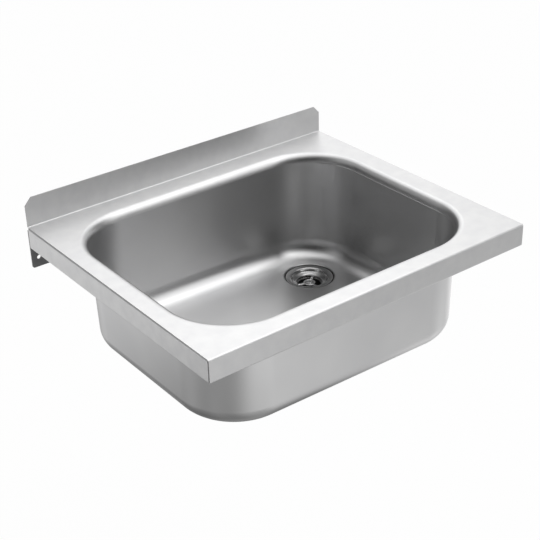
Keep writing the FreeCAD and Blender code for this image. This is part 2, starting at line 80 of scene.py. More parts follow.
# Bowl and lip
BOWL_SHEET = 0.001
BOWL_CORNER_RADIUS = 0.102
BOWL_DEPTH = 0.191              # deck to floor, at the middle
BOWL_DRAFT = math.radians(1.5)
FLOOR_RADIUS = 0.033
FLOOR_FALL = 0.019              # drop per length, towards the waste
LIP_RADIUS = 0.013
LIP_LAND = 0.001
LIP_STEPS = 10
WELD_HEIGHT = 0.0016
WELD_RISE = 0.0005              # left proud along the right wall, dressed flush elsewhere
WELD_DRESSED_TO = 0.19
WELD_FADE = 0.05
CORNER_STEPS = 28
FILLET_STEPS = 14
RECESS_DEPTH = 0.004
RECESS_CLEARANCE = 0.001
RECESS_LEAN = 0.5               # outwards, per depth
RECESS_STEPS = 3
DRAIN_HOLE_RADIUS = 0.0325
ROUND_STEPS = 96

# Waste
CUP_RADIUS = 0.0305
SEAT_RADIUS = 0.0225
CUP_SHEET = 0.0008
RIM_THICKNESS = 0.0015
RIM_BEVEL = 0.0006
CUP_STEP = 0.0055
SEAT_BEVEL = 0.0033
DISH_RADIUS = 0.0334            # where the rim turns down into the cup
DISH_FALL = 0.0009
DISH_DEPTH = 0.0044
CUP_LIP = 0.002
CUP_ROLL = 0.002                # pressed inner edges of the cup
SEAL_BULGE = 0.0014             # top seal's ring round the rim
SEAL_RISE = 0.0004              # above the rim
STRAINER_ARMS = 3
STRAINER_ARM_ANGLE = math.radians(37.0)
STRAINER_ARM_WIDTH = 0.005
STRAINER_ARM_THICKNESS = 0.003
HUB_RADIUS = 0.0107
HUB_RISE = 0.0008               # above the arms
HEAD_POCKET_DEPTH = 0.0022
HEAD_POCKET_RADIUS = 0.008
HUB_ROLL = 0.0011
ARM_ROLL = 0.0013
HUB_HOLE_RADIUS = 0.0033
SCREW_RADIUS = 0.003
SCREW_HEAD_RADIUS = 0.0054
SCREW_HEAD_HEIGHT = 0.0026
SCREW_HEAD_ROLL = 0.0021
SCREW_PLAIN = 0.008             # shank without thread, under the head
SCREW_POINT = 0.0008
SCREW_PITCH = 0.001
SCREW_THREAD = 0.0004
SCREW_SLOT_WIDTH = 0.0013
SCREW_SLOT_DEPTH = 0.0012
BRIDGE_ANGLE = math.radians(50.0)
BRIDGE_WIDTH = 0.004
BRIDGE_HEIGHT = 0.012
BRIDGE_ROLL_STEPS = 2
BODY_WALL = 0.003
BODY_FLANGE = 0.005
BODY_CONE_HEIGHT = 0.016
BODY_ROLL = 0.0015
BOSS_RADIUS = 0.008
INSERT_RADIUS = 0.005
INSERT_COLLAR_HEIGHT = 0.0025
TAIL_BORE = 0.02
TAIL_SPIGOT = 0.0224
TAIL_SOCKET_DEPTH = 0.01
TAIL_BAND = 0.008               # plain collar above the thread
TAIL_PITCH = 0.0023
TAIL_THREAD = 0.0011
MOULD_ROLL = 0.0006

# Pad and fastenings
PAD_CORNER_RADIUS = 0.02
PAD_THICKNESS = 0.0025
PAD_ROLL = 0.0008
PAD_ROLL_STEPS = 3
STUD_RADIUS = 0.003
STUD_SPACING = 0.022
STUD_PITCH = 0.001
STUD_THREAD = 0.0004
STUD_POINT = 0.0006
WASHER_HOLE = 0.0033
NUT_SIDES = 6
NUT_CHAMFER = 0.0005
NUT_CHAMFER_STEPS = 3
THREAD_STEPS = 24
THREAD_SINK = 0.25              # into the shank, per ridge height
THREAD_CREST_AT = 0.45          # up the ridge's foot, per pitch
THREAD_FOOT = 0.9               # of the pitch
RUNNING_GAP = 0.0002
ROUNDING_STEPS = 4

# Derived levels and places
DECK_TOP = DECK_HIGH.z - UPSTAND_HEIGHT
DECK_UNDERSIDE = DECK_TOP - SHEET
LIP_BOTTOM = BOWL_HIGH.z
BOWL_FLOOR = DECK_TOP - BOWL_DEPTH
MOUTH_MIDDLE = (BOWL_LOW + BOWL_HIGH) / 2
MOUTH_HALF = (BOWL_HIGH - BOWL_LOW) / 2 - Vector((BOWL_SHEET, BOWL_SHEET, 0.0))
FLOOR_AT_WASTE = BOWL_FLOOR - (WASTE_AXIS.x - MOUTH_MIDDLE.x) * FLOOR_FALL
RECESS_FLOOR = FLOOR_AT_WASTE - RECESS_DEPTH
RIM_RADIUS = (RIM_HIGH.x - RIM_LOW.x) / 2
RIM_TOP = RIM_HIGH.z
LEDGE_LEVEL = RIM_TOP - CUP_STEP
STRAINER_UNDERSIDE = RIM_LOW.z + CUP_SHEET
RIM_UNDERSIDE = RIM_TOP - RIM_THICKNESS
FLOOR_UNDERSIDE = BOWL_FLOOR - BOWL_SHEET
STUD_PLACE = Vector((STUD_HIGH.x - STUD_RADIUS, (STUD_LOW.y + STUD_HIGH.y) / 2, 0.0))
STUD_STEPS = [
    Vector((-STUD_SPACING, 0.0, 0.0)),
    Vector((STUD_SPACING - 2 * STUD_PLACE.x, 0.0, 0.0)),
    Vector((-2 * STUD_PLACE.x, 0.0, 0.0)),
]
FULL_TURN = 2 * math.pi
UP = Vector((0.0, 0.0, 1.0))
SHARP_ANGLE = math.radians(35.0)
NEARLY_ALONG = 0.9              # cosine past which two directions count as one
TOUCH = 1e-6                    # places nearer than this count as one
CUT_TOUCH = 1e-7


# Shaping steps that several pieces share

def rounded_loop(bm, half, radius, middle, level):
    """Edge loop along a rectangle with rounded corners."""
    corners = []
    for side_x, side_y in ((-1, -1), (1, -1), (1, 1), (-1, 1)):
        corners.append(bm.verts.new((middle.x + side_x * half.x, middle.y + side_y * half.y, level)))
    bm.faces.new(corners)
    rounded = bmesh.ops.bevel(
        bm, geom=corners, offset=radius, offset_type="OFFSET", segments=CORNER_STEPS,
        profile=0.5, affect="VERTICES", material=-1)
    face = rounded["verts"][0].link_faces[0]
    edges = list(face.edges)
    bmesh.ops.delete(bm, geom=[face], context="FACES_ONLY")
    return edges


def mouth_loop(bm, growth, level):
    """Edge loop along the bowl mouth's outline, grown outwards."""
    half = MOUTH_HALF + Vector((growth, growth, 0.0))
    return rounded_loop(bm, half, BOWL_CORNER_RADIUS + growth, MOUTH_MIDDLE, level)


def bridge_in_turn(bm, loops):
    """Skins each edge loop to the next one."""
    for loop, following in zip(loops, loops[1:]):
        bmesh.ops.bridge_loops(bm, edges=loop + following)


def everything(bm):
    """All vertices, edges and faces of a shape."""
    return bm.verts[:] + bm.edges[:] + bm.faces[:]


def edges_of(verts):
    """Every edge that meets one of the vertices."""
    return list({edge for vert in verts for edge in vert.link_edges})


def circle_loop(bm, radius, middle, level):
    """Edge loop along a level circle."""
    place = Matrix.Translation((middle.x, middle.y, level))
    made = bmesh.ops.create_circle(bm, cap_ends=False, radius=radius, segments=ROUND_STEPS, matrix=place)
    return edges_of(made["verts"])


def extruded(bm, edges):
    """Extrudes edges in place and gives the new edges and vertices."""
    made = bmesh.ops.extrude_edge_only(bm, edges=edges)["geom"]
    new_edges = [item for item in made if isinstance(item, bmesh.types.BMEdge)]
    new_verts = [item for item in made if isinstance(item, bmesh.types.BMVert)]
    return new_edges, new_verts


def round_edges(bm, edges, width, steps):
    """Rounds the given edges."""
    bmesh.ops.bevel(
        bm, geom=edges, offset=width, offset_type="OFFSET", segments=steps,
        profile=0.5, affect="EDGES", clamp_overlap=True, material=-1)


def round_sharp_edges(bm, width, steps):
    """Rounds every sharp edge of a closed shape."""
    sharp = [edge for edge in bm.edges if edge.is_manifold and edge.calc_face_angle() > SHARP_ANGLE]
    round_edges(bm, sharp, width, steps)


def folded_sheet(bm, corners, bends, run):
    """Faces along a chain of corner points, drawn out along a vector, with the folds rounded."""
    verts = [bm.verts.new(corner) for corner in corners]
    chain = [bm.edges.new(pair) for pair in zip(verts, verts[1:])]
    moved = extruded(bm, chain)[1]
    bmesh.ops.translate(bm, verts=moved, vec=run)
    along = run.normalized()
    for index, radius in bends.items():
        for edge in verts[index].link_edges:
            direction = (edge.verts[1].co - edge.verts[0].co).normalized()
            if abs(direction.dot(along)) > NEARLY_ALONG:
                fold = edge
        round_edges(bm, [fold], radius, FOLD_STEPS)


def fill_between(bm, edges):
    """Flat fill between an outline and the hole in it."""
    bmesh.ops.triangle_fill(bm, use_beauty=True, use_dissolve=False, edges=edges, normal=UP)


def face_towards(bm, direction):
    """Turns an open sheet so that its largest face looks along a direction."""
    bmesh.ops.recalc_face_normals(bm, faces=bm.faces)
    largest = max(bm.faces, key=lambda face: face.calc_area())
    if largest.normal.dot(direction) < 0:
        bmesh.ops.reverse_faces(bm, faces=bm.faces)


def thicken(bm, thickness):
    """Gives a sheet its thickness behind the faces that are there."""
    bmesh.ops.solidify(bm, geom=bm.faces[:], thickness=thickness)


def turned(bm, profile, middle=WASTE_AXIS):
    """Ring or solid turned about an upright axis from (radius, level, rounding) corners."""
    corners = [bm.verts.new((middle.x + radius, middle.y, level)) for radius, level, rounding in profile]
    section = bm.faces.new(corners)
    for vert, (radius, level, rounding) in zip(corners, profile):
        if rounding:
            made = bmesh.ops.bevel(
                bm, geom=[vert], offset=rounding, offset_type="OFFSET", segments=ROUNDING_STEPS,
                profile=0.5, affect="VERTICES", material=-1)
            section = made["verts"][0].link_faces[0]
    outline = list(section.edges)
    bmesh.ops.delete(bm, geom=[section], context="FACES_ONLY")
    on_axis = [edge for edge in outline if max(vert.co.x for vert in edge.verts) < middle.x + TOUCH]
    bmesh.ops.delete(bm, geom=on_axis, context="EDGES")
    outline = [edge for edge in outline if edge.is_valid]
    verts = list({vert for edge in outline for vert in edge.verts})
    bmesh.ops.spin(
        bm, geom=verts + outline, cent=middle, axis=UP, angle=FULL_TURN, steps=ROUND_STEPS,
        use_merge=True, use_duplicate=False)
    bmesh.ops.remove_doubles(bm, verts=bm.verts, dist=TOUCH)
    bmesh.ops.recalc_face_normals(bm, faces=bm.faces)


def wind_thread(bm, middle, root, crest, pitch, low, high):
    """Helical ridge wound up a shank between two levels."""
    foot = root - (crest - root) * THREAD_SINK
    section = bm.faces.new([
        bm.verts.new((middle.x + radius, middle.y, low + rise * pitch))
        for radius, rise in ((foot, 0.0), (crest, THREAD_CREST_AT), (foot, THREAD_FOOT))])
    turns = int((high - low) / pitch) - 1
    bmesh.ops.spin(
        bm, geom=[section] + list(section.edges) + list(section.verts), cent=middle, axis=UP,
        dvec=UP * pitch / THREAD_STEPS, angle=FULL_TURN * turns, steps=turns * THREAD_STEPS,
        use_merge=False, use_duplicate=False)
    bmesh.ops.holes_fill(bm, edges=[edge for edge in bm.edges if edge.is_boundary], sides=3)
    bmesh.ops.recalc_face_normals(bm, faces=bm.faces)


def repeat_at_studs(bm):
    """Copies what stands at the first stud to the other three."""
    first = everything(bm)
    for step in STUD_STEPS:
        made = bmesh.ops.duplicate(bm, geom=first)["geom"]
        copied = [item for item in made if isinstance(item, bmesh.types.BMVert)]
        bmesh.ops.translate(bm, verts=copied, vec=step)


def about_waste(angle):
    """Turn about the waste's axis."""
    return Matrix.Translation(WASTE_AXIS) @ Matrix.Rotation(angle, 4, "Z")


def add_piece(bm, name, body, slot, material, *nodes):
    """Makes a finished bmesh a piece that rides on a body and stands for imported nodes."""
    mesh = bpy.data.meshes.new(name)
    bm.to_mesh(mesh)
    bm.free()
    mesh.shade_smooth()
    mesh.set_sharp_from_angle(angle=SHARP_ANGLE)
    mesh.materials.append(material)
    piece = bpy.data.objects.new(name, mesh)
    bpy.context.scene.collection.objects.link(piece)
    even = piece.modifiers.new("even_normals", "WEIGHTED_NORMAL")
    even.keep_sharp = True
    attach(piece, body)
    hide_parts(*nodes)
    return piece


# Materials

STREAK_DETAIL = 3.0
PATCH_DETAIL = 2.0
METAL_TONE_SPAN = (0.3, 0.7)    # part of the patches' mask that the tones spread over
METAL_GLOSS_SPAN = (0.25, 0.75)
METAL_RELIEF_DEPTH = 0.0002
BRUSHING = 0.8
MOULDED_SPAN = (0.0, 1.0)
MOULDED_PATCH_SCALE = 40.0
MOULDED_RELIEF_DEPTH = 0.0003


def make_grain_group():
    """Fine streaks along one direction and broad soft patches, both as masks from 0 to 1."""
    group = bpy.data.node_groups.new("grain", "ShaderNodeTree")
    for name, way, kind in (
            ("Vector", "INPUT", "NodeSocketVector"),
            ("Streak Scale", "INPUT", "NodeSocketVector"),
            ("Patch Scale", "INPUT", "NodeSocketFloat"),
            ("Streak", "OUTPUT", "NodeSocketFloat"),
            ("Patch", "OUTPUT", "NodeSocketFloat")):
        group.interface.new_socket(name=name, in_out=way, socket_type=kind)
    nodes, links = group.nodes, group.links
    entry = nodes.new("NodeGroupInput")
    leave = nodes.new("NodeGroupOutput")
    stretch = nodes.new("ShaderNodeVectorMath")
    stretch.operation = "MULTIPLY"
    streak = nodes.new("ShaderNodeTexNoise")
    streak.inputs["Scale"].default_value = 1.0
    streak.inputs["Detail"].default_value = STREAK_DETAIL
    patch = nodes.new("ShaderNodeTexNoise")
    patch.inputs["Detail"].default_value = PATCH_DETAIL
    links.new(entry.outputs["Vector"], stretch.inputs[0])
    links.new(entry.outputs["Streak Scale"], stretch.inputs[1])
    links.new(stretch.outputs["Vector"], streak.inputs["Vector"])
    links.new(entry.outputs["Vector"], patch.inputs["Vector"])
    links.new(entry.outputs["Patch Scale"], patch.inputs["Scale"])
    links.new(streak.outputs["Fac"], leave.inputs["Streak"])
    links.new(patch.outputs["Fac"], leave.inputs["Patch"])
    return group


GRAIN = make_grain_group()


def grained(name, tones, tone_span, roughness, gloss_span, streak_scale, patch_scale, relief, relief_depth):
    """Material whose tone drifts in patches and whose gloss and relief follow fine streaks."""
    material = bpy.data.materials.new(name)
    material.use_nodes = True
    nodes, links = material.node_tree.nodes, material.node_tree.links
    shader = nodes["Principled BSDF"]
    place = nodes.new("ShaderNodeTexCoord")
    grain = nodes.new("ShaderNodeGroup")
    grain.node_tree = GRAIN
    grain.inputs["Streak Scale"].default_value = streak_scale
    grain.inputs["Patch Scale"].default_value = patch_scale
    tone = nodes.new("ShaderNodeValToRGB")
    for element, position, level in zip(tone.color_ramp.elements, tone_span, tones):
        element.position = position
        element.color = (*level, 1.0)
    gloss = nodes.new("ShaderNodeMapRange")
    gloss.inputs["From Min"].default_value, gloss.inputs["From Max"].default_value = gloss_span
    gloss.inputs["To Min"].default_value, gloss.inputs["To Max"].default_value = roughness
    bump = nodes.new("ShaderNodeBump")
    bump.inputs["Strength"].default_value = relief
    bump.inputs["Distance"].default_value = relief_depth
    links.new(place.outputs["Object"], grain.inputs["Vector"])
    links.new(grain.outputs["Patch"], tone.inputs["Fac"])
    links.new(tone.outputs["Color"], shader.inputs["Base Color"])
    links.new(grain.outputs["Streak"], gloss.inputs["Value"])
    links.new(gloss.outputs["Result"], shader.inputs["Roughness"])
    links.new(grain.outputs["Streak"], bump.inputs["Height"])
    links.new(bump.outputs["Normal"], shader.inputs["Normal"])
    return material


def grained_metal(name, tones, roughness, streak_scale, patch_scale, relief, across=None):
    """Metal, brushed where the direction across its grain is given."""
    material = grained(
        name, tones, METAL_TONE_SPAN, roughness, METAL_GLOSS_SPAN,
        streak_scale, patch_scale, relief, METAL_RELIEF_DEPTH)
    nodes, links = material.node_tree.nodes, material.node_tree.links
    shader = nodes["Principled BSDF"]
    shader.inputs["Metallic"].default_value = 1.0
    if across:
        brush = nodes.new("ShaderNodeCombineXYZ")
        for socket, share in zip(brush.inputs, across):
            socket.default_value = share
        shader.inputs["Anisotropic"].default_value = BRUSHING
        links.new(brush.outputs["Vector"], shader.inputs["Tangent"])
    return material


def moulded(name, tones, roughness, grit_scale, relief):
    """Plastic, rubber or bitumen with a fine grit in its gloss and relief."""
    return grained(
        name, tones, MOULDED_SPAN, roughness, MOULDED_SPAN,
        (grit_scale, grit_scale, grit_scale), MOULDED_PATCH_SCALE, relief, MOULDED_RELIEF_DEPTH)


DECK_STEEL = grained_metal(
    "deck_steel", ((0.62, 0.62, 0.625), (0.66, 0.66, 0.66)), (0.36, 0.42),
    (60.0, 2500.0, 2500.0), 50.0, 0.06, (0.0, 1.0, 1.0))
END_STEEL = grained_metal(
    "end_steel", ((0.66, 0.66, 0.665), (0.72, 0.72, 0.72)), (0.36, 0.42),
    (2500.0, 60.0, 2500.0), 50.0, 0.06, (0.1, 0.0, 1.0))
BOWL_STEEL = grained_metal(
    "bowl_steel", ((0.60, 0.60, 0.605), (0.66, 0.66, 0.66)), (0.31, 0.35),
    (900.0, 900.0, 900.0), 7.0, 0.005)
# Cut edges: rougher than the faces, and toned darker as painted shade for the dark seam lines at the deck's
# ends
SHEARED_STEEL_AND_SHADE = grained_metal(
    "sheared_steel_and_painted_shade", ((0.50, 0.50, 0.505), (0.58, 0.58, 0.58)), (0.5, 0.7),
    (60.0, 60.0, 2500.0), 60.0, 0.2)
# Toned far darker than the sink's steel: painted shade under the deck, where the brackets sit
BRACKET_STEEL_SHADED = grained_metal(
    "bracket_steel", ((0.26, 0.26, 0.265), (0.33, 0.33, 0.33)), (0.38, 0.52),
    (400.0, 400.0, 60.0), 30.0, 0.12)
WASTE_STEEL = grained_metal(
    "waste_steel", ((0.62, 0.62, 0.62), (0.70, 0.70, 0.70)), (0.2, 0.28),
    (1500.0, 1500.0, 1500.0), 40.0, 0.04)
ZINC = grained_metal(
    "zinc", ((0.48, 0.50, 0.53), (0.60, 0.61, 0.62)), (0.3, 0.45),
    (900.0, 900.0, 900.0), 250.0, 0.1)
BRASS = grained_metal(
    "brass", ((0.60, 0.44, 0.17), (0.70, 0.54, 0.25)), (0.22, 0.34),
    (300.0, 300.0, 3000.0), 90.0, 0.1)
RUBBER = moulded(
    "black_rubber", ((0.018, 0.018, 0.018), (0.035, 0.035, 0.035)), (0.5, 0.75), 900.0, 0.2)
BITUMEN = moulded(
    "bitumen", ((0.03, 0.03, 0.031), (0.07, 0.07, 0.07)), (0.6, 0.95), 500.0, 0.6)
# Near black as painted shade: it darkens the waste's throat seen through the strainer
PLASTIC_SHADED_DARK = moulded(
    "black_plastic", ((0.022, 0.022, 0.023), (0.034, 0.034, 0.034)), (0.42, 0.58), 700.0, 0.08)


# Deck, aprons and bowl

def make_deck():
    """Return, front apron, deck and upstand in one folded sheet, with the lip rolled into the bowl."""
    bm = bmesh.new()
    front, back = DECK_LOW.y, -SHEET
    corners = [
        (DECK_LOW.x, front + APRON_RETURN, DECK_LOW.z),
        (DECK_LOW.x, front, DECK_LOW.z),
        (DECK_LOW.x, front, DECK_TOP),
        (DECK_LOW.x, back, DECK_TOP),
        (DECK_LOW.x, back, DECK_HIGH.z),
    ]
    outer_bend = BEND + SHEET
    width = Vector((DECK_HIGH.x - DECK_LOW.x, 0.0, 0.0))
    folded_sheet(bm, corners, {1: outer_bend, 2: outer_bend, 3: BEND}, width)
    for side in (-1, 1):
        cut_at = Vector((side * (DECK_HIGH.x - UPSTAND_CORNER_CUT), 0.0, DECK_HIGH.z))
        bmesh.ops.bisect_plane(
            bm, geom=everything(bm), plane_co=cut_at, plane_no=Vector((side, 0.0, 1.0)), clear_outer=True)
    for vert in bm.verts:
        if vert.co.y > front + outer_bend - SHEET and vert.co.z < DECK_LOW.z + BEND:
            vert.co.x = math.copysign(DECK_HIGH.x - SHEET - SEAM_GAP, vert.co.x)
        elif abs(vert.co.x) > DECK_HIGH.x - SHEET:
            vert.co.x = math.copysign(DECK_HIGH.x - DECK_END_INSET, vert.co.x)
    flat = max(bm.faces, key=lambda face: face.calc_area())
    outline = list(flat.edges)
    bmesh.ops.delete(bm, geom=[flat], context="FACES_ONLY")
    loops = [mouth_loop(bm, LIP_RADIUS + LIP_LAND, DECK_TOP)]
    for step in range(LIP_STEPS + 1):
        angle = math.pi / 2 * step / LIP_STEPS
        growth = LIP_RADIUS * (1 - math.sin(angle))
        loops.append(mouth_loop(bm, growth, DECK_TOP - LIP_RADIUS * (1 - math.cos(angle))))
    loops.append(mouth_loop(bm, 0.0, LIP_BOTTOM))
    bridge_in_turn(bm, loops)
    fill_between(bm, outline + loops[0])
    face_towards(bm, UP)
    thicken(bm, SHEET)
    # The end faces take the second material: rough cut edges with painted shade for the seam line
    end_zone = DECK_HIGH.x - SHEET - DECK_END_INSET
    for face in bm.faces:
        if abs(face.normal.x) > NEARLY_ALONG and abs(face.calc_center_median().x) > end_zone:
            face.material_index = 1
    deck = add_piece(bm, "deck", "sink", "satin_stainless", DECK_STEEL, "deck_sheet")
    deck.data.materials.append(SHEARED_STEEL_AND_SHADE)


def make_end_plate(name, side):
    """Side apron: a flange under the deck, a face flush with its edge, and a return."""
    bm = bmesh.new()
    front, rear = END_LOW.y, END_HIGH.y
    face = side * DECK_HIGH.x
    corners = [
        (face - side * END_FLANGE, front, DECK_UNDERSIDE),
        (face, front, DECK_UNDERSIDE),
        (face, front, DECK_LOW.z),
        (face - side * APRON_RETURN, front, DECK_LOW.z),
    ]
    outer_bend = BEND + SHEET
    folded_sheet(bm, corners, {1: outer_bend, 2: outer_bend}, Vector((0.0, rear - front, 0.0)))
    for vert in bm.verts:
        inside = abs(vert.co.x) < DECK_HIGH.x - SHEET
        if inside and vert.co.z < DECK_LOW.z + BEND and vert.co.y < front + SHEET:
            vert.co.y = DECK_LOW.y + APRON_RETURN + SEAM_GAP
        elif vert.co.y < front + SHEET and DECK_LOW.z + BEND < vert.co.z < DECK_UNDERSIDE - BEND:
            vert.co.y -= SEAM_CLOSED
    face_towards(bm, Vector((side, 0.0, 0.0)))
    thicken(bm, SHEET)
    add_piece(bm, "end_apron_" + name, "sink", "satin_stainless", END_STEEL, "end_plate_" + name)


def shrink_about_waste(verts, radius, level):
    """Moves a loop of vertices to a radius about the waste's axis, at a level."""
    for vert in verts:
        spoke = Vector((vert.co.x - WASTE_AXIS.x, vert.co.y - WASTE_AXIS.y, 0.0)).normalized()
        vert.co = Vector((WASTE_AXIS.x, WASTE_AXIS.y, level)) + spoke * radius


def make_bowl():
    """Drawn shell with drafted walls, a falling floor and a pressed recess for the waste."""
    bm = bmesh.new()
    loops = [
        mouth_loop(bm, 0.0, LIP_BOTTOM),
        mouth_loop(bm, 0.0, LIP_BOTTOM - WELD_HEIGHT / 2),
        mouth_loop(bm, 0.0, LIP_BOTTOM - WELD_HEIGHT),
    ]
    for vert in {vert for edge in loops[1] for vert in edge.verts}:
        share = min(max((vert.co.x - WELD_DRESSED_TO) / WELD_FADE, 0.0), 1.0)
        vert.co.x -= WELD_RISE * share
    wall_inset = (LIP_BOTTOM - BOWL_FLOOR - FLOOR_RADIUS) * math.tan(BOWL_DRAFT)
    middle_inset = wall_inset + FLOOR_RADIUS / math.cos(BOWL_DRAFT)
    for step in range(FILLET_STEPS + 1):
        angle = BOWL_DRAFT + (math.pi / 2 - BOWL_DRAFT) * step / FILLET_STEPS
        growth = FLOOR_RADIUS * math.cos(angle) - middle_inset
        loops.append(mouth_loop(bm, growth, BOWL_FLOOR + FLOOR_RADIUS * (1 - math.sin(angle))))
    bridge_in_turn(bm, loops)
    recess_radius = RIM_RADIUS + RECESS_CLEARANCE
    recess_edge = circle_loop(bm, recess_radius + RECESS_DEPTH * RECESS_LEAN, WASTE_AXIS, BOWL_FLOOR)
    fill_between(bm, loops[-1] + recess_edge)
    for vert in bm.verts:
        share = (LIP_BOTTOM - vert.co.z) / (LIP_BOTTOM - BOWL_FLOOR)
        vert.co.z -= share * (vert.co.x - MOUTH_MIDDLE.x) * FLOOR_FALL
    recess_foot, foot_verts = extruded(bm, recess_edge)
    shrink_about_waste(foot_verts, recess_radius, RECESS_FLOOR)
    drain_verts = extruded(bm, recess_foot)[1]
    shrink_about_waste(drain_verts, DRAIN_HOLE_RADIUS, RECESS_FLOOR)
    round_edges(bm, recess_edge + recess_foot, RECESS_CLEARANCE, RECESS_STEPS)
    face_towards(bm, UP)
    thicken(bm, BOWL_SHEET)
    add_piece(bm, "bowl_shell", "sink", "satin_stainless", BOWL_STEEL, "bowl")


# Waste

def make_waste_rim():
    """Pressed rim and cup with a ledge and a rolled plug seat."""
    bm = bmesh.new()
    turned(bm, [
        (RIM_RADIUS, RIM_UNDERSIDE, 0.0),
        (RIM_RADIUS, RIM_TOP, RIM_BEVEL),
        (DISH_RADIUS, RIM_TOP - DISH_FALL, CUP_ROLL),
        (CUP_RADIUS, RIM_TOP - DISH_DEPTH, CUP_ROLL / 2),
        (CUP_RADIUS - CUP_SHEET, LEDGE_LEVEL - CUP_SHEET, CUP_SHEET),
        (SEAT_RADIUS, LEDGE_LEVEL - SEAT_BEVEL, CUP_ROLL),
        (SEAT_RADIUS, STRAINER_UNDERSIDE, 0.0),
        (SEAT_RADIUS - CUP_LIP, STRAINER_UNDERSIDE, 0.0),
        (SEAT_RADIUS - CUP_LIP, RIM_LOW.z, 0.0),
        (SEAT_RADIUS + CUP_SHEET, RIM_LOW.z, 0.0),
        (SEAT_RADIUS + CUP_SHEET, LEDGE_LEVEL - SEAT_BEVEL - CUP_SHEET, 0.0),
        (CUP_RADIUS, LEDGE_LEVEL - 2 * CUP_SHEET, 0.0),
        (CUP_RADIUS + CUP_SHEET, RIM_TOP - DISH_DEPTH - CUP_SHEET, 0.0),
        (DRAIN_HOLE_RADIUS - RUNNING_GAP, RIM_UNDERSIDE, 0.0),
    ])
    add_piece(bm, "waste_rim", "sink", "polished_stainless", WASTE_STEEL, "waste_flange")


def make_strainer():
    """Cast hub on three rounded arms."""
    bm = bmesh.new()
    pocket_floor = CROSS_HIGH.z - HEAD_POCKET_DEPTH
    turned(bm, [
        (HUB_HOLE_RADIUS, CROSS_LOW.z, 0.0),
        (HUB_RADIUS, CROSS_LOW.z, MOULD_ROLL),
        (HUB_RADIUS, CROSS_HIGH.z, HUB_ROLL),
        (HEAD_POCKET_RADIUS, CROSS_HIGH.z, HUB_ROLL),
        (HEAD_POCKET_RADIUS, pocket_floor, 0.0),
        (HUB_HOLE_RADIUS, pocket_floor, 0.0),
    ])
    arm_top = CROSS_HIGH.z - HUB_RISE
    reach = SEAT_RADIUS - RUNNING_GAP
    start = HUB_RADIUS - HUB_ROLL
    arm_middle = arm_top - STRAINER_ARM_THICKNESS / 2 - WASTE_AXIS.z
    size = Matrix.Diagonal((reach - start, STRAINER_ARM_WIDTH, STRAINER_ARM_THICKNESS, 1.0))
    place = Matrix.Translation(((reach + start) / 2, 0.0, arm_middle))
    for index in range(STRAINER_ARMS):
        turn = about_waste(STRAINER_ARM_ANGLE + FULL_TURN * index / STRAINER_ARMS)
        arm = bmesh.ops.create_cube(bm, size=1.0, matrix=turn @ place @ size)["verts"]
        round_edges(bm, edges_of(arm), ARM_ROLL, ROUNDING_STEPS)
    add_piece(bm, "strainer", "sink", "polished_stainless", WASTE_STEEL, "strainer_cross")


def cut_slot(bm, angle, width, floor):
    """Straight slot across a head on the waste's axis."""
    across = Vector((-math.sin(angle), math.cos(angle), 0.0))
    middle = Vector((WASTE_AXIS.x, WASTE_AXIS.y, floor))
    sides = (middle - across * width / 2, middle + across * width / 2)
    for place, normal in ((middle, UP), (sides[0], across), (sides[1], across)):
        bmesh.ops.bisect_plane(
            bm, geom=everything(bm), dist=CUT_TOUCH, plane_co=place, plane_no=normal)
    inside = []
    for face in bm.faces:
        offset = face.calc_center_median() - middle
        if offset.z > 0 and abs(offset.dot(across)) < width / 2:
            inside.append(face)
    bmesh.ops.delete(bm, geom=inside, context="FACES")
    open_edges = [edge for edge in bm.edges if edge.is_boundary]
    floor_edges = [edge for edge in open_edges if max(vert.co.z for vert in edge.verts) < floor + TOUCH]
    for side in sides:
        wall = [
            edge for edge in open_edges
            if max(abs((vert.co - side).dot(across)) for vert in edge.verts) < TOUCH]
        ends = [vert for edge in wall for vert in edge.verts if abs(vert.co.z - floor) < TOUCH]
        foot = bm.edges.new(ends)
        floor_edges.append(foot)
        bmesh.ops.edgeloop_fill(bm, edges=wall + [foot])
    bmesh.ops.edgeloop_fill(bm, edges=floor_edges)
    bmesh.ops.recalc_face_normals(bm, faces=bm.faces)


def make_waste_screw():
    """Slotted screw with a low rounded head, a plain neck and a thread."""
    bm = bmesh.new()
    head_underside = SCREW_HIGH.z - SCREW_HEAD_HEIGHT
    root = SCREW_RADIUS - SCREW_THREAD
    thread_top = head_underside - SCREW_PLAIN
    turned(bm, [
        (0.0, SCREW_LOW.z, 0.0),
        (root - SCREW_POINT, SCREW_LOW.z, 0.0),
        (root, SCREW_LOW.z + SCREW_POINT, 0.0),
        (root, thread_top, 0.0),
        (SCREW_RADIUS, thread_top, 0.0),
        (SCREW_RADIUS, head_underside, 0.0),
        (SCREW_HEAD_RADIUS, head_underside, 0.0),
        (SCREW_HEAD_RADIUS, SCREW_HIGH.z, SCREW_HEAD_ROLL),
        (0.0, SCREW_HIGH.z, 0.0),
    ])
    cut_slot(bm, BRIDGE_ANGLE, SCREW_SLOT_WIDTH, SCREW_HIGH.z - SCREW_SLOT_DEPTH)
    wind_thread(
        bm, WASTE_AXIS, root, SCREW_RADIUS, SCREW_PITCH,
        SCREW_LOW.z + SCREW_POINT, thread_top + SCREW_PITCH / 2)
    add_piece(bm, "slotted_screw", "screw", "polished_stainless", WASTE_STEEL, "waste_screw")


